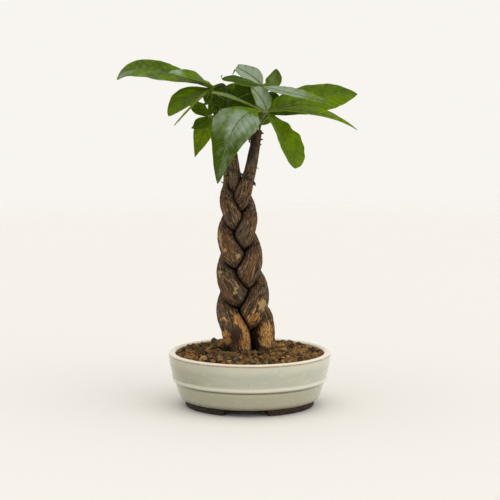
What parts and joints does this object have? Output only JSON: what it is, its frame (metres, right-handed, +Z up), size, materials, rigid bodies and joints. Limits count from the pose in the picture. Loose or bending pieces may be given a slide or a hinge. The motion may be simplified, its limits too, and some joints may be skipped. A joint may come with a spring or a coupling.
{
  "type": "potted money tree",
  "caption": "Small money tree with a braided trunk and palmate leaves, standing in gravelly soil in a round glazed pot on low curved feet.",
  "frame": {"origin": "centre of the bounding box in X and Y, on the plane that the pot's feet stand on", "axes": "+Z up, along the trunk; -Y towards the side the picture shows, +X to its right"},
  "size_m": [0.2432, 0.1668, 0.3503],
  "materials": {
    "glaze": "gloss",
    "netting": "matte",
    "soil": "matte",
    "bark": "matte",
    "wire": "satin",
    "leaf": "satin"
  },
  "bodies": {
    "root": {"pot": "glaze", "drain_mesh": "netting", "soil": "soil", "stem_left": "bark", "stem_middle": "bark", "stem_right": "bark", "tie_wire": "wire", "leaf_front_right": "leaf", "leaf_top": "leaf", "leaf_left": "leaf", "leaf_low_left": "leaf", "leaf_back_right": "leaf", "leaf_back": "leaf"}
  },
  "joints": []
}
